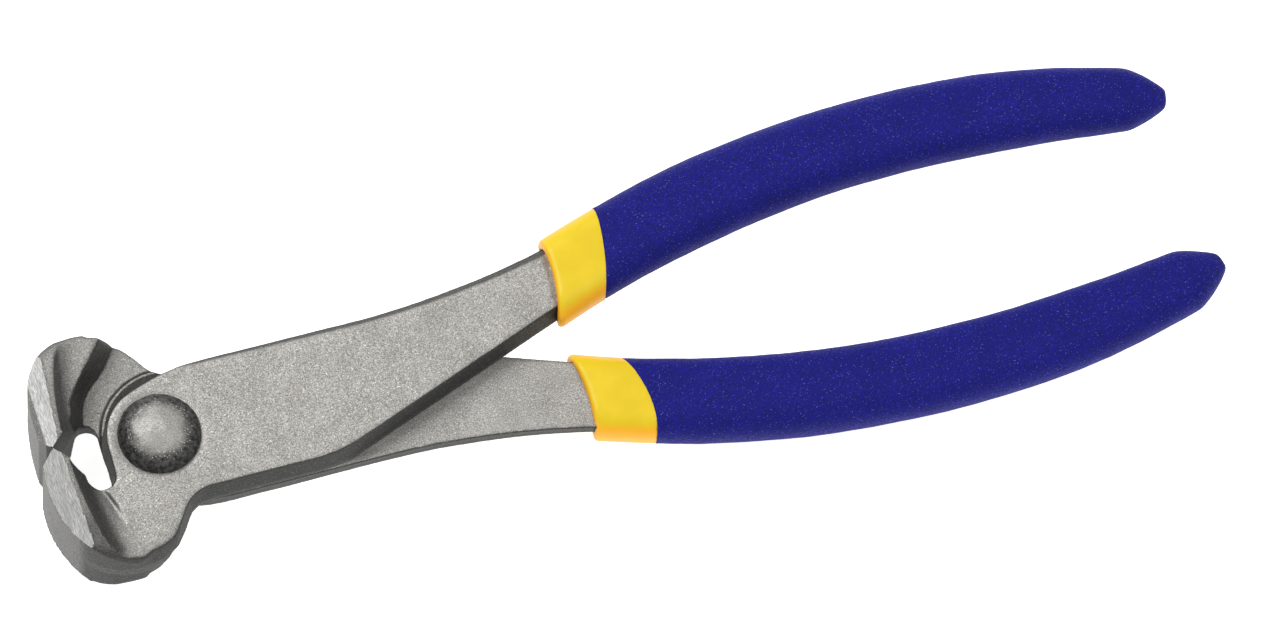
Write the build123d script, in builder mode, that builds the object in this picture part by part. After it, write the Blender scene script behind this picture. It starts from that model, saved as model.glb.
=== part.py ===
"""End-cutting tile nippers: two lap-jointed forged levers on one rivet, with vinyl sleeves and cuffs.

Every sketch is drawn about the pivot, in the lap plane. The front lever carries the lower jaw (-Y) and the
upper handle (+Y). The back lever is the same forging turned half a turn about the tool's X axis. The jaws
are closed, and the nippers lie on their side with the ends of the jaws lowest.
"""
import os
from math import asin, cos, radians, sin, sqrt, tan

from build123d import *

# Driving dimensions, mm and degrees
overall_length = 204.0
jaw_reach = 21.0             # pivot to the front of the jaws
edge_reach = 18.5            # pivot to the cutting edge
jaw_half_width = 12.0        # half the length of the cutting edge, along Z
face_height = 5.5            # thickness of one lever, lap plane to outer face
draft = 8.0                  # forging draft away from the lap plane
edge_gap = 0.05              # from the centre line to each cutting edge
lap_gap = 0.03               # from the lap plane to each lever's lap face
rough_step = 0.4             # depth of the as-forged sector behind the lap face

front_radius = 20.0          # convex front of the jaw, in plan
front_centre_y = -5.2
toe_y = -15.6                # where that convex front ends
bevel_depth = 2.2            # outer bevel of the cutting edge, along X and Y
throat_x = -11.4             # middle of the round-ended throat slot
throat_end_y = -4.75
throat_radius = 1.7
ridge_x = -16.2              # inner edge of the crest, at the cutting edge
ridge_bend = 100.0           # radius of the crest's inner edge, in plan
crest_top = 12.2             # Z of the crest at the centre line, before the facet is ground
crest_toe = (-16.4, 8.76)    # Y and Z where the crest starts to round down to the heel
crest_foot = (-21.0, 2.0)
facet_level = 11.91          # Z of the ground facet at the cutting edge
facet_normal = (-0.35, -0.238, 1)

disc_radius = 9.7
disc_angle = 112.0           # where the disc runs out into the arm's outer edge
heel = (-9.0, -20.8)
neck_top = (-1.4, -18.7)
neck_foot = (1.55, -14.27)
arm_half_width = 11.9
crown_x = 9.5
arm_start_x = 5.98
inner_corner_x = 28.5        # where the arm's inner edge turns towards the handle
inner_corner_radius = 25.0
outer_bend_x = 36.0          # where its outer edge starts to follow the handle
arm_end = (74.0, 16.9)
# Line on the outer face from which its long edge is broken
edge_line = [(-1.0, 11.4), (9.5, 10.38), (36.0, 10.0), (76.0, 14.9)]

shoulder_distance = 13.2     # pivot to the foot of the shoulder beside the lap
shoulder_angle = 215.0       # direction in which that distance is measured
shoulder_slope = 20.0
shoulder_depth = 6.9         # height of the shoulder from the rough sector
shoulder_start = 3.0         # how far the shoulder runs on past its foot, towards the throat
pad_centre = (2.2, -1.7)     # lap pad beyond which the forging stays rough
pad_radius = 11.3

rivet_radius = 4.0
bore_clearance = 0.04
head_radius = 7.05
head_height = 3.4
cap_radius = 4.1
cap_drop = 0.55              # from the top of the head to the edge of its flatter cap
head_gap = 0.03
seat_radius = 7.5            # shallow round seat sunk in the lever under each head
seat_depth = 0.2

handle_start = (71.2, 9.5)   # middle of the handle at the cuff's front rim
handle_angle = 20.2          # direction of the handle there
handle_bend = 184.0          # radius of the handle's single bend
handle_level = 2.75          # middle of the handle, above the lap plane
tang_size = (9.4, 4.3)
tang_ends = (1.4, 30.0)      # degrees round the bend from the cuff's front rim
cuff_size = (14.4, 8.8)
cuff_rims = [(71.0, -3.0), (80.3, -8.0)]  # X of each rim at mid-handle, and its tilt
cuff_seat = (0.3, 0.2)       # how far in front of the cuff its seat starts, and its depth
# Sleeve sections: X from the pivot, width, thickness
sleeve_sections = [(68, 14.3, 8.8), (80, 14.4, 8.8), (100, 14.6, 9.6), (125, 14.3, 9.8), (150, 13.8, 9.4),
                   (166, 12.4, 8.6), (176, 10.9, 7.6)]
nose_sections = [(176, 10.9, 7.6), (179.4, 7.6, 5.6), (182.6, 3.2, 2.6)]

# Places worked out from them
pivot_x = jaw_reach - overall_length / 2
tip_x = overall_length - jaw_reach
joint = Plane(origin=(pivot_x, 0, jaw_half_width))
across = Plane(origin=joint.origin, x_dir=(1, 0, 0), z_dir=(0, -1, 0))
along = Plane(origin=joint.origin, x_dir=(0, 1, 0), z_dir=(1, 0, 0))
tool_axis = Axis(joint.origin, (1, 0, 0))
handle_slope = tan(radians(handle_angle))


def polar(radius, angle):
    """Point at this radius and angle from the pivot."""
    return (radius * cos(radians(angle)), radius * sin(radians(angle)))


def front_point(y):
    """Point on the jaw's convex front at this Y."""
    return (front_radius - jaw_reach - sqrt(front_radius**2 - (y - front_centre_y) ** 2), y)


def handle_plane(x):
    """Plane across the handle where its middle reaches this X."""
    turn = asin(sin(radians(handle_angle)) - (x - handle_start[0]) / handle_bend)
    y = handle_start[1] + handle_bend * (cos(turn) - cos(radians(handle_angle)))
    origin = joint.origin + Vector(x, y, handle_level)
    return Plane(origin=origin, x_dir=(-sin(turn), cos(turn), 0), z_dir=(cos(turn), sin(turn), 0))


# Outline of the whole lever in the lap plane, where the forging dies part
arm_inner_end = (arm_end[0], (arm_end[0] - inner_corner_x) * handle_slope - arm_half_width)
with BuildSketch(joint) as outline:
    with BuildLine():
        bevel_end = front_point(-edge_gap - bevel_depth)
        Line((-edge_reach, -edge_gap), bevel_end)
        front = ThreePointArc(bevel_end, front_point(front_centre_y), front_point(toe_y))
        toe = TangentArc(front @ 1, heel, tangent=front % 1)
        heel_arc = TangentArc(toe @ 1, neck_top, tangent=toe % 1)
        neck = Line(heel_arc @ 1, neck_foot)
        TangentArc(neck @ 1, (arm_start_x, -arm_half_width), tangent=neck % 1)
        FilletPolyline(
            (arm_start_x, -arm_half_width),
            (inner_corner_x, -arm_half_width),
            arm_inner_end,
            radius=inner_corner_radius,
        )
        Line(arm_inner_end, arm_end)
        TangentArc((outer_bend_x, arm_half_width), arm_end, tangent=(1, 0))
        Line((outer_bend_x, arm_half_width), (crown_x, arm_half_width))
        disc = ThreePointArc(polar(disc_radius, 180), polar(disc_radius, 146), polar(disc_radius, disc_angle))
        TangentArc(disc @ 1, (crown_x, arm_half_width), tangent=disc % 1)
        Polyline(disc @ 0, (-disc_radius, -edge_gap), (-edge_reach, -edge_gap))
    make_face()

# Jaw: the wide, hollowed end of the lever, and the part of its far half beyond the other lever's path
throat_left = throat_x - throat_radius
with BuildPart() as jaw:
    extrude(outline.sketch, amount=jaw_half_width, both=True)
    with BuildSketch(across) as cross_profile:
        with BuildLine():
            hollow_radius = jaw_half_width - face_height
            hollow_x = ridge_x + hollow_radius
            front_x = -jaw_reach - 1
            for side in (1, -1):
                CenterArc((hollow_x, side * jaw_half_width), hollow_radius, 180, side * 90)
                Line((front_x, side * jaw_half_width), (ridge_x, side * jaw_half_width))
            Line((front_x, -jaw_half_width), (front_x, jaw_half_width))
            Line((hollow_x, -face_height), (hollow_x, face_height))
        make_face()
    bend_axis = Axis(joint.origin + Vector(ridge_x + ridge_bend, 0, 0), (0, 0, 1))
    revolve(cross_profile.sketch, axis=bend_axis, revolution_arc=15, mode=Mode.INTERSECT)
    with BuildSketch(along) as side_profile:
        with BuildLine():
            for side in (1, -1):
                start = (crest_toe[0], side * crest_toe[1])
                fall = (crest_toe[0], side * (crest_toe[1] - crest_top))
                Line((0, side * crest_top), start)
                TangentArc(start, (crest_foot[0], side * crest_foot[1]), tangent=fall)
            Line((crest_foot[0], -crest_foot[1]), crest_foot)
            Line((0, -crest_top), (0, crest_top))
        make_face()
    extrude(side_profile.sketch, amount=overall_length, both=True, mode=Mode.INTERSECT)
    for side in (1, -1):
        corner = joint.origin + Vector(-edge_reach, 0, side * facet_level)
        facet = Plane(origin=corner, z_dir=(facet_normal[0], facet_normal[1], side * facet_normal[2]))
        split(bisect_by=facet, keep=Keep.BOTTOM)
    extrude(outline.sketch, amount=-face_height, taper=draft)

    # The other lever swings past a straight shoulder that slopes back from the lap
    reach = overall_length
    with BuildSketch(joint.offset(rough_step)) as swing_side:
        with Locations(polar(shoulder_distance - reach / 2, shoulder_angle)):
            Rectangle(reach, 2 * reach, rotation=shoulder_angle)
        with Locations((throat_left + reach / 2, 0)):
            Rectangle(reach, 2 * reach, mode=Mode.INTERSECT)
    extrude(swing_side.sketch, amount=-jaw_half_width - 1, mode=Mode.SUBTRACT)
    shoulder_foot = joint.origin + Vector(*polar(shoulder_distance, shoulder_angle), rough_step)
    shoulder_across = Plane(
        origin=shoulder_foot,
        x_dir=(*polar(1, shoulder_angle), 0),
        z_dir=(*polar(1, shoulder_angle + 90), 0),
    )
    with BuildSketch(shoulder_across.offset(-shoulder_start)) as shoulder_profile:
        with BuildLine():
            depth = -shoulder_depth * (1 if shoulder_across.y_dir.Z > 0 else -1)
            crest = (shoulder_depth * tan(radians(shoulder_slope)), depth)
            Polyline((-1, 0), (0, 0), crest, (-1, depth), close=True)
        make_face()
    extrude(shoulder_profile.sketch, amount=reach, mode=Mode.SUBTRACT)

with BuildPart() as lever_front:
    # Arm: the long edge that the hand meets is broken, and this fades out at the lap
    extrude(outline.sketch, amount=face_height, taper=draft)
    with BuildSketch(joint.offset(face_height)) as edge_break:
        with BuildLine():
            fade, knee, bend, end = edge_line
            Polyline(fade, knee, bend)
            TangentArc(bend, end, tangent=(1, 0))
            Polyline(end, (end[0], 2 * end[1]), (fade[0], 2 * end[1]), fade)
        make_face()
    extrude(edge_break.sketch, amount=-face_height / 2, taper=45, mode=Mode.SUBTRACT)

    # Lap: the pad that bears on the other lever, and the rough sector beside it
    with BuildSketch(joint) as lap_relief:
        Rectangle(2 * reach, 2 * reach)
    extrude(lap_relief.sketch, amount=lap_gap, mode=Mode.SUBTRACT)
    with BuildSketch(joint) as rough_sector:
        with Locations((-jaw_reach + 1.5, -jaw_reach)):
            Rectangle(2 * jaw_reach + 3, 2 * jaw_reach)
        with Locations(pad_centre):
            Circle(pad_radius, mode=Mode.SUBTRACT)
    extrude(rough_sector.sketch, amount=rough_step, mode=Mode.SUBTRACT)
    add(jaw.part)

    # Throat: inner bevel of the cutting edge, and a drafted slot with a round end
    inner_depth = throat_x - throat_radius * sin(radians(45)) + edge_reach
    with BuildSketch(joint) as inner_bevel:
        with BuildLine():
            Polyline(
                (-edge_reach, -edge_gap),
                (inner_depth - edge_reach, -edge_gap - inner_depth),
                (inner_depth - edge_reach, 1),
                (-edge_reach, 1),
                close=True,
            )
        make_face()
    extrude(inner_bevel.sketch, amount=jaw_half_width, both=True, mode=Mode.SUBTRACT)
    with BuildSketch(joint) as throat:
        with Locations((throat_x, throat_end_y)):
            Circle(throat_radius)
        with Locations((throat_x, throat_end_y / 2 + 3)):
            Rectangle(2 * throat_radius, 6 - throat_end_y)
    for depth in (jaw_half_width, -jaw_half_width):
        extrude(throat.sketch, amount=depth, taper=-draft, mode=Mode.SUBTRACT)

    # Tang: a narrower strip that runs on inside the sleeve
    with BuildSketch(joint.offset(handle_level)) as tang:
        with BuildLine(mode=Mode.PRIVATE) as tang_line:
            bend_centre = Vector(*handle_start) - Vector(*polar(handle_bend, 90 + handle_angle))
            first, last = tang_ends
            CenterArc(bend_centre, handle_bend, 90 + handle_angle - first, first - last)
        SlotArc(tang_line.edge(), tang_size[0])
    extrude(tang.sketch, amount=tang_size[1] / 2, both=True)

    # Rivet bore
    with BuildSketch(joint) as bore:
        Circle(rivet_radius + bore_clearance)
    extrude(bore.sketch, amount=face_height, mode=Mode.SUBTRACT)

    # Seats of the rivet's head and of the cuff, so that the outer face itself stays clear
    with BuildSketch(joint.offset(face_height)) as head_seat:
        Circle(seat_radius)
    extrude(head_seat.sketch, amount=-seat_depth, mode=Mode.SUBTRACT)
    with BuildSketch(joint.offset(face_height)) as cuff_land:
        rim_x, rim_tilt = cuff_rims[0]
        with Locations((rim_x - cuff_seat[0], handle_start[1])):
            Rectangle(10, 40, rotation=rim_tilt, align=(Align.MIN, Align.CENTER))
    extrude(cuff_land.sketch, amount=-cuff_seat[1], mode=Mode.SUBTRACT)

with BuildPart() as lever_back:
    add(lever_front.part.rotate(tool_axis, 180))


# Rivet: a plain shank, set over into a domed head with a flatter cap at each end
with BuildPart() as pivot_rivet:
    with BuildSketch(across):
        with BuildLine():
            seat = face_height - seat_depth + head_gap
            for side in (1, -1):
                rim = (head_radius, side * seat)
                cap = (cap_radius, side * (seat + head_height - cap_drop))
                top = (0, side * (seat + head_height))
                Line((rivet_radius, side * seat), rim)
                ThreePointArc(rim, (0.9 * head_radius, side * (seat + 0.52 * head_height)), cap)
                TangentArc(top, cap, tangent=(1, 0))
                Line((0, 0), top)
            Line((rivet_radius, -seat), (rivet_radius, seat))
        make_face()
    revolve(axis=Axis(joint.origin, (0, 0, 1)))


def sleeve_section(x, width, thickness):
    """Rounded section set across the handle where its middle reaches this X."""
    with BuildSketch(handle_plane(x)) as section:
        RectangleRounded(width, thickness, 0.45 * thickness)
    return section.sketch


# Sleeves and cuffs: dipped vinyl over the tang, each with a nearly square rim
cuff_rim, sleeve_rim = [
    Plane(origin=handle_plane(x).origin, z_dir=(*polar(1, tilt), 0)) for x, tilt in cuff_rims
]
with BuildPart() as cuff_front:
    loft([sleeve_section(handle_start[0] + step, *cuff_size) for step in (-5, 5, 17)])
    split(bisect_by=cuff_rim, keep=Keep.TOP)
    split(bisect_by=sleeve_rim, keep=Keep.BOTTOM)
    front_edges = cuff_front.faces().sort_by(Axis(cuff_rim.origin, cuff_rim.z_dir))[0].edges()
    fillet(front_edges, radius=0.9)
    add(lever_front.part, mode=Mode.SUBTRACT)

with BuildPart() as grip_front:
    loft([sleeve_section(*row) for row in sleeve_sections])
    loft([sleeve_section(*row) for row in nose_sections])
    split(bisect_by=sleeve_rim, keep=Keep.TOP)
    add(lever_front.part, mode=Mode.SUBTRACT)

with BuildPart() as cuff_back:
    add(cuff_front.part.rotate(tool_axis, 180))

with BuildPart() as grip_back:
    add(grip_front.part.rotate(tool_axis, 180))


os.makedirs("parts", exist_ok=True)
pieces = {
    "lever_front": lever_front,
    "lever_back": lever_back,
    "pivot_rivet": pivot_rivet,
    "grip_front": grip_front,
    "grip_back": grip_back,
    "cuff_front": cuff_front,
    "cuff_back": cuff_back,
}
for name, piece in pieces.items():
    piece.part.label = name
    export_step(piece.part, f"parts/{name}.step")
    box = piece.part.bounding_box()
    print(name, len(piece.part.solids()), piece.part.is_valid, round(piece.part.volume), box)
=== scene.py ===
from math import radians

import bmesh
import bpy
import numpy as np
from mathutils import Matrix, Vector, noise


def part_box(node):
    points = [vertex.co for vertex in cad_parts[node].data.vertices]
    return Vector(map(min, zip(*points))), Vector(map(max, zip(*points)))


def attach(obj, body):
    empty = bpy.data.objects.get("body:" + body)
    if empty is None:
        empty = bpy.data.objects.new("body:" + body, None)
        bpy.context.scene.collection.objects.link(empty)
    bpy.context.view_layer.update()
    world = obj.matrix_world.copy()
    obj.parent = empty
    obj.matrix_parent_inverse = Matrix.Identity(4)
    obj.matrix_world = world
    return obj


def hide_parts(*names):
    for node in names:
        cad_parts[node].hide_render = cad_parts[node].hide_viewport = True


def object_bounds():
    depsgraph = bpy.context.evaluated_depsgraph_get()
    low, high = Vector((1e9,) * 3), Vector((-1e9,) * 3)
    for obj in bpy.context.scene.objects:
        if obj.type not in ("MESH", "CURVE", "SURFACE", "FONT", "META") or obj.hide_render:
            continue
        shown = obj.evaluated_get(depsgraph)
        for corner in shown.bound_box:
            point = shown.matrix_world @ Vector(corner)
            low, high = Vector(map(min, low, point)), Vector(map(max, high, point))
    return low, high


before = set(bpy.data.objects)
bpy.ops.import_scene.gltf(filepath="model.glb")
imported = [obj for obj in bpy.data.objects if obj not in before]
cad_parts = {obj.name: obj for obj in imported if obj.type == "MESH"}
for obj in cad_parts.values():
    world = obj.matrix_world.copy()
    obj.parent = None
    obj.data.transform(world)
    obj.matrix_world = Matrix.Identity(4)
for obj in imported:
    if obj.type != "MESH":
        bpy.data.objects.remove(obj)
cad_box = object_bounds()

MM = 0.001
# Middle of the rivet, in mm. The two levers meet in the level plane through it.
PIVOT_X, LAP_Z = -81.0, 12.0
PIVOT = Vector((PIVOT_X * MM, 0, LAP_Z * MM))

# The camera's place in metres from the rivet, and the ways its picture's right and its own back point
CAMERA_PLACE = Vector((-0.1773, -0.5846, 1.6641))
CAMERA_RIGHT = Vector((0.9584, -0.2807, 0.0513))
CAMERA_BACK = Vector((-0.1461, -0.3283, 0.9332))
FLOOR_GAP = 0.2 * MM


# ---------------------------------------------------------------- view, floor and light

def camera():
    data = bpy.data.cameras.new("camera")
    data.sensor_width = 36
    data.lens = 300
    data.clip_end = 10
    cam = bpy.data.objects.new("camera", data)
    bpy.context.scene.collection.objects.link(cam)
    right = CAMERA_RIGHT.normalized()
    back = CAMERA_BACK.normalized()
    up = back.cross(right).normalized()
    right = up.cross(back)
    turn = Matrix((right, up, back)).transposed().to_4x4()
    cam.matrix_world = Matrix.Translation(PIVOT + CAMERA_PLACE) @ turn
    bpy.context.scene.camera = cam


def floor():
    """Pale floor just under the part."""
    mesh = bpy.data.meshes.new("floor")
    bm = bmesh.new()
    bmesh.ops.create_grid(bm, x_segments=1, y_segments=1, size=3)
    bm.to_mesh(mesh)
    bm.free()
    obj = bpy.data.objects.new("floor", mesh)
    bpy.context.scene.collection.objects.link(obj)
    obj.location.z = cad_box[0][2] - FLOOR_GAP
    mat = bpy.data.materials.new("floor")
    mat.use_nodes = True
    shader = mat.node_tree.nodes["Principled BSDF"]
    shader.inputs["Base Color"].default_value = (0.9, 0.9, 0.9, 1)
    shader.inputs["Roughness"].default_value = 0.9
    shader.inputs["Specular IOR Level"].default_value = 0.1
    shader.inputs["Emission Color"].default_value = (1, 1, 1, 1)
    shader.inputs["Emission Strength"].default_value = 0.8
    mesh.materials.append(mat)


def light(name, place, size, power):
    """A square lamp, of this size in metres and power in watts, aimed at the part's origin."""
    data = bpy.data.lights.new(name, "AREA")
    data.size = size
    data.energy = power
    obj = bpy.data.objects.new(name, data)
    bpy.context.scene.collection.objects.link(obj)
    obj.location = place
    obj.rotation_euler = (-Vector(place)).to_track_quat("-Z", "Y").to_euler()


def studio():
    scene = bpy.context.scene
    scene.view_settings.view_transform = "Standard"
    light("key", (-0.5, 0.75, 1.3), 0.8, 14)
    light("fill", (0.6, -0.5, 1.6), 1.2, 7)
    world = bpy.data.worlds.new("world")
    scene.world = world
    world.use_nodes = True
    background = world.node_tree.nodes["Background"]
    background.inputs["Color"].default_value = (1, 1, 1, 1)
    background.inputs["Strength"].default_value = 0.55


# ---------------------------------------------------------------- materials

class Graph:
    """A material's node tree, with short calls for the nodes used here."""

    def __init__(self, name):
        self.material = bpy.data.materials.new(name)
        self.material.use_nodes = True
        self.tree = self.material.node_tree
        self.shader = self.tree.nodes["Principled BSDF"]
        place = self.tree.nodes.new("ShaderNodeTexCoord").outputs["Object"]
        self.mm = self.scaled(place, (1000, 1000, 1000))

    def link(self, source, target):
        """Sets a socket to a constant, or links another socket to it."""
        if isinstance(source, (int, float, tuple)):
            target.default_value = source
        else:
            self.tree.links.new(source, target)

    def scaled(self, vector, scale):
        node = self.tree.nodes.new("ShaderNodeMapping")
        self.link(vector, node.inputs["Vector"])
        node.inputs["Scale"].default_value = scale
        return node.outputs["Vector"]

    def noise(self, size, detail=2.0, rough=0.5, stretch=(1, 1, 1), offset=0.0):
        """Noise whose blotches are about this many mm across."""
        vector = self.scaled(self.mm, tuple(s / size for s in stretch))
        if offset:
            vector.node.inputs["Location"].default_value = (offset, offset, offset)
        node = self.tree.nodes.new("ShaderNodeTexNoise")
        self.link(vector, node.inputs["Vector"])
        node.inputs["Scale"].default_value = 1
        node.inputs["Detail"].default_value = detail
        node.inputs["Roughness"].default_value = rough
        return node.outputs["Fac"]

    def math(self, operation, a, b=0.0):
        node = self.tree.nodes.new("ShaderNodeMath")
        node.operation = operation
        for value, socket in zip((a, b), node.inputs):
            self.link(value, socket)
        return node.outputs[0]

    def product(self, a, b):
        return self.math("MULTIPLY", a, b)

    def distance(self, a, b):
        """Length of the diagonal across two distances."""
        squares = self.math("ADD", self.math("POWER", a, 2.0), self.math("POWER", b, 2.0))
        return self.math("SQRT", squares)

    def ramp(self, value, low, high, out_low=0.0, out_high=1.0):
        """Smooth step from out_low, where the value is low, to out_high, where it is high."""
        node = self.tree.nodes.new("ShaderNodeMapRange")
        node.interpolation_type = "SMOOTHSTEP"
        for source, name in ((value, "Value"), (low, "From Min"), (high, "From Max"),
                             (out_low, "To Min"), (out_high, "To Max")):
            self.link(source, node.inputs[name])
        return node.outputs["Result"]

    def mix(self, factor, a, b):
        """Colour between a, at a factor of 0, and b, at a factor of 1."""
        node = self.tree.nodes.new("ShaderNodeMix")
        node.data_type = "RGBA"
        node.clamp_factor = True
        self.link(factor, node.inputs["Factor"])
        for value, socket in ((a, node.inputs[6]), (b, node.inputs[7])):
            self.link((*value, 1) if isinstance(value, tuple) else value, socket)
        return node.outputs[2]

    def normal_part(self, axis):
        """One component of the surface's normal, in the object's own axes."""
        node = self.tree.nodes.new("ShaderNodeTexCoord")
        split = self.tree.nodes.new("ShaderNodeSeparateXYZ")
        self.link(node.outputs["Normal"], split.inputs[0])
        return split.outputs[axis]

    def place_part(self, axis):
        """One coordinate of the point, in mm from the part's origin."""
        split = self.tree.nodes.new("ShaderNodeSeparateXYZ")
        self.link(self.mm, split.inputs[0])
        return split.outputs[axis]

    def bump(self, height, depth, before=None):
        """Bump of this many mm from a height of 0 to 1."""
        node = self.tree.nodes.new("ShaderNodeBump")
        node.inputs["Strength"].default_value = 1
        node.inputs["Distance"].default_value = depth * MM
        self.link(height, node.inputs["Height"])
        if before is not None:
            self.link(before, node.inputs["Normal"])
        return node.outputs["Normal"]


def pad_step_painted_shade(g, level):
    """Strength of the painted shade in the joint, round the step at the edge of the lap pad: in the gap
    beside the other lever's disc and on the step, with the pad's lit rim left between them.
    """
    centre_x, centre_y, rim = -78.8, 1.7, 11.0
    across = g.math("SUBTRACT", g.place_part("X"), centre_x)
    beside = g.math("SUBTRACT", g.math("ABSOLUTE", g.place_part("Y")), centre_y)
    radius = g.distance(across, beside)
    inside = g.ramp(radius, rim, rim - 0.2)
    outside = g.product(g.ramp(radius, rim + 0.2, rim + 0.3), g.ramp(radius, rim + 1.0, rim + 0.55))
    painted_shade = g.product(g.math("MAXIMUM", inside, outside), g.ramp(level, 0.75, 0.55, 0.0, 0.85))
    return g.product(painted_shade, g.ramp(g.place_part("X"), -73.0, -77.0))


def forged_face(g, level, grain, glints):
    """Colour of the forging's flat outer faces and of its hollows."""
    x, y = g.place_part("X"), g.place_part("Y")
    clouds = g.noise(6.0, 3.0, 0.55)
    base = g.mix(g.ramp(clouds, 0.3, 0.7), (0.40, 0.394, 0.37), (0.47, 0.463, 0.44))
    base = g.mix(g.ramp(grain, 0.34, 0.62), g.mix(0.72, base, (0.12, 0.115, 0.105)), base)
    base = g.mix(g.product(glints, 0.6), base, (0.88, 0.87, 0.83))
    warm = g.product(g.ramp(g.noise(0.8, 2.0, 0.6, offset=3.0), 0.6, 0.72), 0.35)
    base = g.mix(warm, base, (0.30, 0.235, 0.165))
    # The jaw and the rough sector beside the lap are darker and more pitted; the jaw's hollow gets painted
    # shade, much stronger on the lower jaw
    jaw = g.ramp(x, -93.0, -97.5, 0.0, 0.26)
    lap = g.product(g.ramp(level, 0.8, 0.5, 0.0, 0.24), g.ramp(x, -77.0, -80.0))
    hollow = g.product(g.ramp(level, 5.8, 7.0), g.ramp(level, 10.8, 9.0))
    hollow = g.product(hollow, g.ramp(x, -89.0, -92.0))
    hollow = g.product(hollow, g.ramp(y, -1.0, 1.0, 0.7, 0.08))
    dark = g.math("MAXIMUM", g.math("MAXIMUM", jaw, hollow), lap)
    base = g.mix(dark, base, (0.03, 0.029, 0.027))
    pits = g.ramp(g.noise(0.5, 2.0, 0.6, offset=9.0), 0.38, 0.30)
    base = g.mix(g.product(pits, g.product(dark, 2.6)), base, (0.05, 0.045, 0.04))
    # Painted shade in the joint, round the lap pad's step
    return g.mix(pad_step_painted_shade(g, level), base, (0.012, 0.012, 0.011))


def forged_wall(g, facing, level, grain, glints):
    """Colour of the drafted walls: dark scale, partly painted shade, with painted light on the strip along
    the die line at the jaw's front, on walls sloping towards the face and on walls facing the jaw's front,
    and painted shade on the outer bevel.
    """
    x = g.place_part("X")
    forward = g.product(g.normal_part("X"), -1.0)
    # Painted light: the lighter wall colour goes on the strip along the die line at the jaw's front, on
    # walls sloping towards the face and on walls facing the jaw's front
    die_line_painted_light = g.product(g.ramp(level, 1.5, 0.9, 0.0, 0.25), g.ramp(x, -99.0, -97.5))
    slope_painted_light = g.ramp(facing, 0.22, 0.32, 0.0, 0.18)
    wall_painted_light = g.math("MAXIMUM", g.math("MAXIMUM", die_line_painted_light, slope_painted_light), g.ramp(forward, 0.76, 0.9))
    wall = g.mix(wall_painted_light, (0.040, 0.040, 0.038), (0.17, 0.168, 0.16))
    # Painted shade: the outer bevel at the jaw's front is painted nearly black
    bevel = g.product(g.ramp(forward, 0.79, 0.74, 0.0, 0.6), g.ramp(x, -98.6, -99.4))
    wall = g.mix(bevel, wall, (0.012, 0.012, 0.012))
    wall = g.mix(g.ramp(grain, 0.35, 0.65), g.mix(0.5, wall, (0.01, 0.01, 0.009)), wall)
    return g.mix(g.product(glints, 0.3), wall, (0.3, 0.3, 0.28))


def forged_steel():
    g = Graph("forged_steel")
    facing = g.math("ABSOLUTE", g.normal_part("Z"))
    level = g.math("ABSOLUTE", g.math("SUBTRACT", g.place_part("Z"), LAP_Z))
    grain = g.noise(0.2, 3.0, 0.7)
    glints = g.ramp(g.noise(0.26, 1.0, 0.5, offset=7.0), 0.62, 0.72)
    face = forged_face(g, level, grain, glints)
    wall = forged_wall(g, facing, level, grain, glints)
    # Where the surface turns away from the flat faces it takes the wall colour: partly the forging's dark
    # scale on the walls, partly painted shade on them and on the edge rounds, the crease and the steep
    # sides of the hollows
    edge = g.ramp(g.place_part("X"), -93.0, -90.0, 0.58, 0.66)
    base = g.mix(g.ramp(facing, edge, 0.985), wall, face)
    g.link(base, g.shader.inputs["Base Color"])
    g.link(g.ramp(facing, 0.4, 0.9, 0.0, 0.75), g.shader.inputs["Metallic"])
    g.shader.inputs["Specular IOR Level"].default_value = 0.15
    g.link(g.ramp(grain, 0.3, 0.7, 0.66, 0.46), g.shader.inputs["Roughness"])
    rough = g.bump(g.noise(0.9, 3.0, 0.6, offset=2.0), 0.06)
    g.link(g.bump(grain, 0.03, rough), g.shader.inputs["Normal"])
    return g.material


def ground_steel():
    g = Graph("ground_steel")
    grain = g.noise(0.12, 3.0, 0.65, stretch=(1, 0.08, 0.3))
    wide = g.noise(1.1, 2.0, 0.5, stretch=(1, 0.2, 0.4))
    base = g.mix(g.ramp(grain, 0.3, 0.7), (0.27, 0.27, 0.262), (0.60, 0.60, 0.585))
    base = g.mix(g.product(g.ramp(wide, 0.4, 0.75), 0.4), base, (0.26, 0.25, 0.225))
    g.link(base, g.shader.inputs["Base Color"])
    g.shader.inputs["Metallic"].default_value = 0.55
    g.link(g.ramp(grain, 0.3, 0.7, 0.62, 0.5), g.shader.inputs["Roughness"])
    g.link(g.bump(grain, 0.02), g.shader.inputs["Normal"])
    return g.material


def rivet_steel():
    g = Graph("rivet_steel")
    radius = g.distance(g.math("SUBTRACT", g.place_part("X"), PIVOT_X), g.place_part("Y"))
    grain = g.noise(0.2, 3.0, 0.65)
    pits = g.noise(0.7, 2.0, 0.6, offset=5.0)
    uneven = g.ramp(g.noise(1.8, 2.0, 0.5, offset=8.0), 0.3, 0.7, -0.35, 0.35)
    radius = g.math("ADD", radius, uneven)
    # The cap is light and the steeper head further out is dark: painted shade on the head's sloping flank,
    # which also carries painted glints
    top = g.mix(g.ramp(grain, 0.3, 0.7), (0.25, 0.245, 0.225), (0.44, 0.43, 0.405))
    flank = g.mix(g.ramp(pits, 0.35, 0.65), (0.026, 0.026, 0.025), (0.10, 0.099, 0.094))
    glints = g.ramp(g.noise(0.3, 1.0, 0.5, offset=1.0), 0.58, 0.68)
    ring = g.product(g.ramp(radius, 3.6, 4.2), g.ramp(radius, 6.0, 5.0))
    flank = g.mix(g.product(glints, g.product(ring, 0.7)), flank, (0.6, 0.59, 0.56))
    g.link(g.mix(g.ramp(radius, 3.1, 5.6), top, flank), g.shader.inputs["Base Color"])
    g.shader.inputs["Metallic"].default_value = 0.7
    g.link(g.ramp(grain, 0.3, 0.7, 0.6, 0.45), g.shader.inputs["Roughness"])
    g.link(g.bump(grain, 0.03, g.bump(pits, 0.12)), g.shader.inputs["Normal"])
    return g.material


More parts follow.
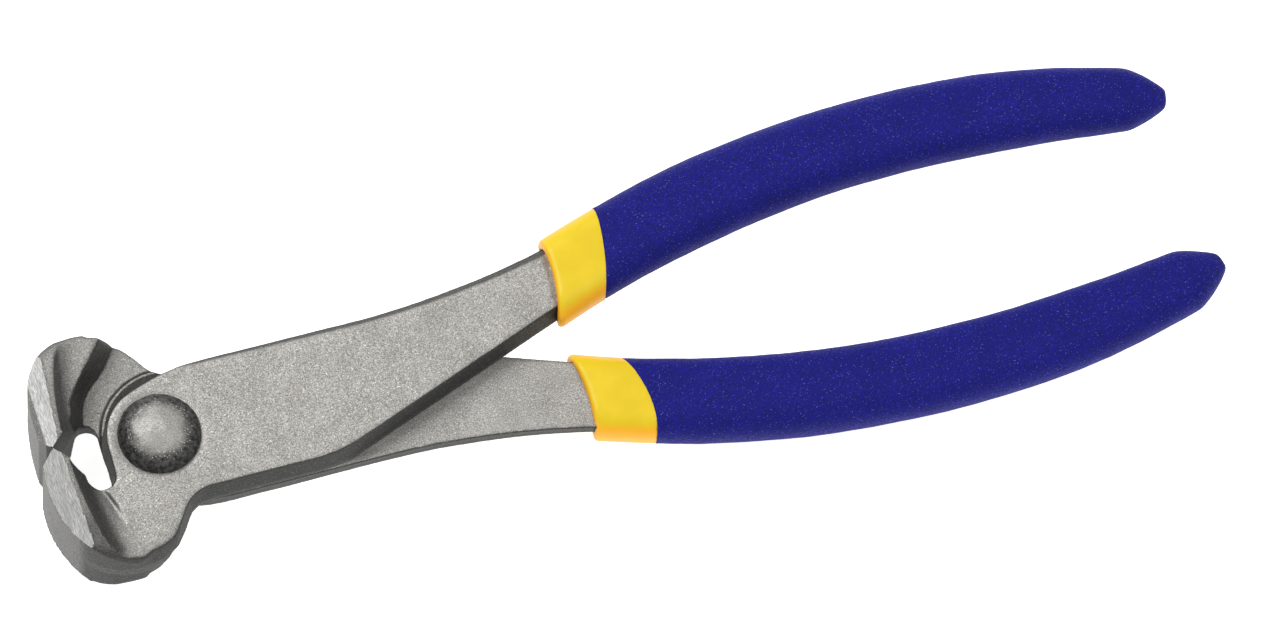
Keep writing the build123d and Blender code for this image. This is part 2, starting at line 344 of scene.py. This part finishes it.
def blue_vinyl():
    g = Graph("blue_vinyl")
    fine = g.noise(0.32, 2.0, 0.6)
    cloud = g.noise(7.0, 2.0, 0.5)
    base = g.mix(g.ramp(cloud, 0.3, 0.7), (0.009, 0.009, 0.21), (0.011, 0.011, 0.25))
    base = g.mix(g.ramp(fine, 0.38, 0.6), (0.008, 0.009, 0.11), base)
    specks = g.ramp(g.noise(0.26, 1.0, 0.5, offset=11.0), 0.66, 0.74)
    base = g.mix(g.product(specks, 0.5), base, (0.17, 0.18, 0.56))
    g.link(base, g.shader.inputs["Base Color"])
    g.link(g.ramp(fine, 0.3, 0.7, 0.66, 0.5), g.shader.inputs["Roughness"])
    g.shader.inputs["Specular IOR Level"].default_value = 0.1
    soft = g.bump(g.noise(1.6, 2.0, 0.5, offset=4.0), 0.08)
    g.link(g.bump(fine, 0.16, soft), g.shader.inputs["Normal"])
    return g.material


def yellow_vinyl():
    g = Graph("yellow_vinyl")
    facing = g.math("ABSOLUTE", g.normal_part("Z"))
    cloud = g.noise(5.0, 2.0, 0.5)
    base = g.mix(g.ramp(cloud, 0.3, 0.7), (0.74, 0.53, 0.011), (0.79, 0.57, 0.014))
    # Painted light: the rounded sides, turned away from the face, get a brighter orange that cancels their
    # shade and stands in for light glowing through the vinyl
    base = g.mix(g.ramp(facing, 0.88, 0.55), base, (0.93, 0.45, 0.009))
    # Painted shade: surfaces facing back towards the jaw, the cuff's front lip, are painted a darker
    # orange
    front_lip_painted_shade = g.ramp(g.product(g.normal_part("X"), -1.0), 0.5, 0.85, 0.0, 0.28)
    base = g.mix(front_lip_painted_shade, base, (0.72, 0.27, 0.006))
    g.link(base, g.shader.inputs["Base Color"])
    g.shader.inputs["Roughness"].default_value = 0.36
    g.shader.inputs["Specular IOR Level"].default_value = 0.28
    g.link(g.bump(g.noise(1.4, 2.0, 0.5), 0.03), g.shader.inputs["Normal"])
    return g.material


# ---------------------------------------------------------------- shapes

def remeshed(name, node, voxel, rounds, keep):
    """A copy of a CAD node as one even mesh in mm from the pivot, with its edges rounded over.

    keep(points) is 1 where the points stay and 0 where they are free.
    """
    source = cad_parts[node]
    mesh = source.data.copy()
    obj = bpy.data.objects.new(name, mesh)
    bpy.context.scene.collection.objects.link(obj)
    mesh.transform(Matrix.Translation(-PIVOT))
    mesh.transform(Matrix.Scale(1 / MM, 4))
    remesh = obj.modifiers.new("remesh", "REMESH")
    remesh.mode = "VOXEL"
    remesh.voxel_size = voxel
    remesh.adaptivity = 0
    graph = bpy.context.evaluated_depsgraph_get()
    made = bpy.data.meshes.new_from_object(obj.evaluated_get(graph))
    obj.modifiers.clear()
    obj.data = made
    made.name = name
    points, edges = arrays(made)
    smooth(points, edges, rounds, 1.0 - keep(points))
    store(made, points)
    return obj


def arrays(mesh):
    """The mesh's points, and the two points of each edge."""
    points = np.empty(len(mesh.vertices) * 3)
    mesh.vertices.foreach_get("co", points)
    edges = np.empty(len(mesh.edges) * 2, np.int32)
    mesh.edges.foreach_get("vertices", edges)
    return points.reshape(-1, 3), edges.reshape(-1, 2)


def store(mesh, points):
    mesh.vertices.foreach_set("co", points.ravel())
    mesh.update()


def smooth(points, edges, rounds, free):
    """Moves each point halfway to the middle of its neighbours, weighted by free, again and again."""
    count = np.bincount(edges.ravel(), minlength=len(points))[:, None]
    for _ in range(rounds):
        total = np.zeros_like(points)
        for axis in range(3):
            total[:, axis] = np.bincount(edges[:, 0], points[edges[:, 1], axis], len(points))
            total[:, axis] += np.bincount(edges[:, 1], points[edges[:, 0], axis], len(points))
        points += (total / count - points) * 0.5 * free[:, None]


def settle_in(obj, materials, body, slot, *nodes):
    """Puts a finished piece in the part's frame, on its body, with its materials."""
    mesh = obj.data
    mesh.transform(Matrix.Scale(MM, 4))
    mesh.transform(Matrix.Translation(PIVOT))
    mesh.materials.clear()
    for material in materials:
        mesh.materials.append(material)
    mesh.polygons.foreach_set("use_smooth", [True] * len(mesh.polygons))
    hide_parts(*nodes)
    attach(obj, body)


def bumps(points, normals, size, depth, where):
    """Pushes points along their normals by noise of this size and depth in mm, weighted by where."""
    for i in np.nonzero(where > 0.01)[0]:
        height = noise.fractal(Vector(points[i]) / size, 0.8, 2.0, 3)
        points[i] += normals[i] * height * depth * where[i]


def normals_of(mesh):
    normals = np.empty(len(mesh.vertices) * 3)
    mesh.vertices.foreach_get("normal", normals)
    return normals.reshape(-1, 3)


def unit(*v):
    return np.array(v, float) / np.linalg.norm(v)


# Ground planes of the front lever's jaw, each by a point in mm from the pivot and its outward normal:
# the facet at each end of the crest, the outer bevel and the inner bevel
GROUND = [
    (np.array((-18.5, 0, 11.91)), unit(-0.35, -0.238, 1)),
    (np.array((-18.5, 0, -11.91)), unit(-0.35, -0.238, -1)),
    (np.array((-18.5, -0.05, 0)), unit(-1, 1, 0)),
    (np.array((-18.5, -0.05, 0)), unit(1, 1, 0)),
]
INNER_BEVEL = 3
JAW_BACK, JAW_TOP = -12.9, 0.5    # X and Y that bound the ground planes on the front lever's jaw
BEVEL_BACK, BEVEL_END = -13.0, -5.6    # X and Y where the inner bevel ends


def in_jaw(points):
    return (points[:, 0] < JAW_BACK) & (points[:, 1] < JAW_TOP)


def near_edge(points):
    """1 at the jaw's ground planes, where edges stay crisp, down to 0 at 0.4 mm away from them."""
    close = np.zeros(len(points))
    for i, (at, normal) in enumerate(GROUND):
        gap = np.abs((points - at) @ normal)
        near = np.clip(1.6 - gap / 0.25, 0, 1)
        if i == INNER_BEVEL:
            near[(points[:, 1] < BEVEL_END) | (points[:, 0] > BEVEL_BACK)] = 0
        close = np.maximum(close, near)
    return close * in_jaw(points)


def snap(points):
    """Pulls the points next to a ground plane onto it."""
    jaw = in_jaw(points)
    for _ in range(6):
        for i, (at, normal) in enumerate(GROUND):
            gap = (points - at) @ normal
            near = jaw & (np.abs(gap) < 0.16)
            if i == INNER_BEVEL:
                near &= (points[:, 1] > BEVEL_END) & (points[:, 0] < BEVEL_BACK)
            points[near] -= gap[near, None] * normal


def curve_shoulder(points):
    """Curves the shoulder beside the lap away from the rivet, most in the middle of its length."""
    out, along = unit(-0.819, -0.574, 0), unit(0.574, -0.819, 0)
    top, height = 0.4, 6.9
    foot, slope = 13.2, 0.364
    most, middle, spread = 1.35, 4, 4.5
    place = points @ along
    rise = np.clip(top - points[:, 2], 0, height)
    gap = points @ out - foot - slope * rise
    push = most * np.exp(-((place - middle) / spread) ** 2) * (1 - 0.087 * rise)
    push *= np.clip(1 - np.abs(gap) / 3.5, 0, 1) * np.clip((place + 2) / 3, 0, 1)
    push *= points[:, 2] < 1
    points += push[:, None] * out


def crease(points, edges):
    """Forging crease that runs down the jaw's hollow beside the arm, deeper on the jaw's side."""
    route_x, route_y = (-11.66, -10.81, -10.03, -9.17), (7.01, 8.2, 10.44, 13.91)
    depth = 1.1
    away = np.interp(-points[:, 1], route_y, route_x) - points[:, 0]
    fade = np.clip((-points[:, 1] - 6.6) / 1.5, 0, 1) * np.clip((14.2 + points[:, 1]) / 4, 0, 1)
    here = (points[:, 2] > 4.5) & (points[:, 0] > -16) & (points[:, 0] < -8)
    points[:, 2] -= depth * np.exp(-np.abs(away) / 2.1) * np.clip(away / 0.5, 0, 1) * fade * here
    smooth(points, edges, 4, here * np.clip(1.6 - np.abs(away), 0, 1))


HEEL_CENTRE, HEEL_RADIUS, HEEL_TOP = (-6.0, -19.5), 7.0, 8.0    # heel of the front lever's jaw
BACK_FRONT, BACK_SHARE = -19.3, 0.6    # X ahead of which the back lever's jaw is shortened to this share


def round_heel(points, edges):
    from_centre = np.hypot(points[:, 0] - HEEL_CENTRE[0], points[:, 1] - HEEL_CENTRE[1])
    heel = np.clip((HEEL_RADIUS - from_centre) / 2, 0, 1)
    heel *= np.clip((HEEL_TOP - points[:, 2]) / 1.5, 0, 1)
    smooth(points, edges, 40, heel)


def roughen(points, turned, normals):
    """Forging texture everywhere but on the ground planes, and pits on the rough sector beside the lap."""
    x, z = turned[:, 0], turned[:, 2]
    crisp = near_edge(turned)
    rough = np.clip((0.75 - z) / 0.15, 0, 1) * np.clip((z + 0.3) / 0.1, 0, 1) * (x < 2.5)
    bumps(points, normals, 7.0, 0.05, 1 - crisp)
    bumps(points, normals, 1.1, 0.022, 1 - crisp)
    bumps(points, normals, 0.7, 0.05, rough * (1 - crisp))


def mark_ground(mesh, points):
    """Gives the faces on the crest's two facets the second material."""
    faces = np.zeros(len(mesh.polygons), np.int32)
    corners = np.empty(len(mesh.loops), np.int32)
    mesh.loops.foreach_get("vertex_index", corners)
    starts = np.empty(len(mesh.polygons), np.int32)
    mesh.polygons.foreach_get("loop_start", starts)
    for at, normal in GROUND[:2]:
        on = (np.abs((points - at) @ normal) < 0.03) & in_jaw(points)
        faces[np.minimum.reduceat(on[corners].astype(np.int32), starts) > 0] = 1
    mesh.polygons.foreach_set("material_index", faces)


def lever(name, node, body, materials):
    """One forged lever, shaped in the front lever's own directions: the back one is it turned over."""
    voxel = 0.24
    turn = 1 if node == "lever_front" else -1

    def front_side(points):
        return points * (1, turn, turn)

    obj = remeshed(name, node, voxel, 5, lambda p: near_edge(front_side(p)))
    mesh = obj.data
    points, edges = arrays(mesh)
    turned = front_side(points)
    snap(turned)
    curve_shoulder(turned)
    round_heel(turned, edges)
    points = front_side(turned)
    roughen(points, turned, normals_of(mesh))
    turned = front_side(points)
    crease(turned, edges)
    if node == "lever_back":
        ahead = turned[:, 0] < BACK_FRONT
        turned[ahead, 0] = BACK_FRONT + (turned[ahead, 0] - BACK_FRONT) * BACK_SHARE
    store(mesh, front_side(turned))
    settle_in(obj, materials, body, "forged_steel", node)
    mark_ground(mesh, turned)
    mesh.set_sharp_from_angle(angle=radians(40))


# Outline of the rivet's head from its edge to its crown, in shares of the head's radius and height
HEAD_OUTLINE = [
    (1.0, 0.0), (0.992, 0.12), (0.967, 0.25), (0.925, 0.38), (0.865, 0.50), (0.785, 0.62), (0.70, 0.715),
    (0.62, 0.785), (0.56, 0.83), (0.50, 0.868), (0.42, 0.908), (0.30, 0.957), (0.16, 0.99), (0.06, 1.0),
]
SHANK_SHARE = 0.57
SEAT = 5.33    # height of the heads' seats, in mm from the lap
STEPS = 96


def turned_mesh(name, outline, top):
    """Closed shape turned from points of radius and height, from its lower pole to its upper one."""
    bm = bmesh.new()
    angles = np.linspace(0, 2 * np.pi, STEPS, endpoint=False)
    loops = [[bm.verts.new((r * np.cos(a), r * np.sin(a), z)) for a in angles] for r, z in outline]
    for a, b in zip(loops, loops[1:]):
        for i in range(STEPS):
            j = (i + 1) % STEPS
            bm.faces.new((a[i], a[j], b[j], b[i]))
    for loop, side in ((loops[0], -1), (loops[-1], 1)):
        pole = bm.verts.new((0, 0, side * top))
        for i in range(STEPS):
            j = (i + 1) % STEPS
            bm.faces.new((loop[i], loop[j], pole) if side > 0 else (loop[j], loop[i], pole))
    bmesh.ops.subdivide_edges(bm, edges=bm.edges[:], cuts=1, use_grid_fill=True, smooth=0.6)
    bmesh.ops.recalc_face_normals(bm, faces=bm.faces[:])
    mesh = bpy.data.meshes.new(name)
    bm.to_mesh(mesh)
    bm.free()
    return mesh


def rivet(material):
    """Domed head each side of a shank, each with a flatter cap and a small dimple."""
    low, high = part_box("pivot_rivet")
    radius = (high.x - low.x) / 2 / MM
    top = (high.z - PIVOT.z) / MM
    height = top - SEAT
    upper = [(r * radius, SEAT + h * height) for r, h in [(SHANK_SHARE, 0.0)] + HEAD_OUTLINE]
    lower = [(r, -z) for r, z in reversed(upper)]
    mesh = turned_mesh("rivet", lower + upper, top)
    obj = bpy.data.objects.new("rivet", mesh)
    bpy.context.scene.collection.objects.link(obj)
    points, _ = arrays(mesh)
    normals = normals_of(mesh)
    head = (np.abs(points[:, 2]) > SEAT + 0.1).astype(float)
    r = np.hypot(points[:, 0], points[:, 1])
    bumps(points, normals, 3.0, 0.10, head)
    bumps(points, normals, 0.9, 0.06, head * np.clip((r - 3.2) / 1.5, 0, 1))
    side = np.sign(points[:, 2])
    dimple_x, dimple_y, depth = -0.7, -3.1, 0.25
    off_centre = (points[:, 0] - dimple_x) ** 2 + (points[:, 1] - side * dimple_y) ** 2
    points[:, 2] -= side * head * depth * np.exp(-off_centre / 2.4)
    store(mesh, points)
    settle_in(obj, [material], "back_half", "rivet_steel", "pivot_rivet")


# Middle of the plane where sleeve and cuff meet, in mm from the pivot, and the way the plane faces
RIM = np.array((80.3, 12.58, 0))
RIM_NORMAL = unit(0.990, -0.139, 0)
# The handle's direction at the cuff, the direction across it and half its width in mm
ALONG, ACROSS, HALF_WIDTH = unit(0.956, 0.292, 0), unit(-0.292, 0.956, 0), 7.2
CUFF_LENGTH, FADE_LENGTH = 9.0, 14.0
SLEEVE_START, SLEEVE_LENGTH = 100, 83
# How far the front rim's and the rear rim's corners and middle sit past their planes, in mm
BOW = {"front": ((-0.5, 0.5), (0.25, 0.95)), "back": ((0.0, 0.95), (0.0, 1.6))}
LONGER = {"front": -0.5, "back": 1.1}    # how much longer each sleeve is than in the CAD, in mm


def bow(points, side):
    """Slides the vinyl along the handle, so that both rims of the cuff run in an arc."""
    past = (points - RIM) @ RIM_NORMAL
    beside = np.clip((points - RIM) @ ACROSS / HALF_WIDTH, -1, 1)
    arc = 1 - beside**2
    at_front, at_rear = (corner + (middle - corner) * arc for corner, middle in BOW[side])
    share = np.clip(past / CUFF_LENGTH + 1, 0, 1)
    slide = at_front * (1 - share) + at_rear * share
    slide *= np.clip(1 - past / FADE_LENGTH, 0, 1)
    points += slide[:, None] * ALONG
    points[:, 0] += LONGER[side] * np.clip((points[:, 0] - SLEEVE_START) / SLEEVE_LENGTH, 0, 1) ** 2


def vinyl(name, node, body, slot, material, voxel, rounds, lumps):
    """A sleeve or a cuff, with a crisp rim where the two meet and lumps of this height in mm."""
    side = node.split("_")[1]
    turn = np.array((1, 1, 1) if side == "front" else (1, -1, -1))
    voxel *= 1

    def near(points):
        return np.clip(1.6 - np.abs((points * turn - RIM) @ RIM_NORMAL) / voxel, 0, 1)

    obj = remeshed(name, node, voxel, rounds, near)
    mesh = obj.data
    points, _ = arrays(mesh)
    points *= turn
    gap = (points - RIM) @ RIM_NORMAL
    close = np.abs(gap) < 0.65 * voxel
    points[close] -= gap[close, None] * RIM_NORMAL
    bow(points, side)
    points *= turn
    normals = normals_of(mesh)
    bumps(points, normals, 9.0, lumps, np.clip(np.abs(gap) / 2, 0, 1))
    store(mesh, points)
    settle_in(obj, [material], body, slot, node)
    mesh.set_sharp_from_angle(angle=radians(50))


camera()
floor()
studio()
steel, ground, rivet_mat = forged_steel(), ground_steel(), rivet_steel()
blue, yellow = blue_vinyl(), yellow_vinyl()
lever("front_lever", "lever_front", "front_half", [steel, ground])
lever("back_lever", "lever_back", "back_half", [steel, ground])
rivet(rivet_mat)
for side in ("front", "back"):
    body = side + "_half"
    vinyl(side + "_sleeve", "grip_" + side, body, "blue_vinyl", blue, 0.4, 8, 0.10)
    vinyl(side + "_cuff", "cuff_" + side, body, "yellow_vinyl", yellow, 0.25, 5, 0.04)
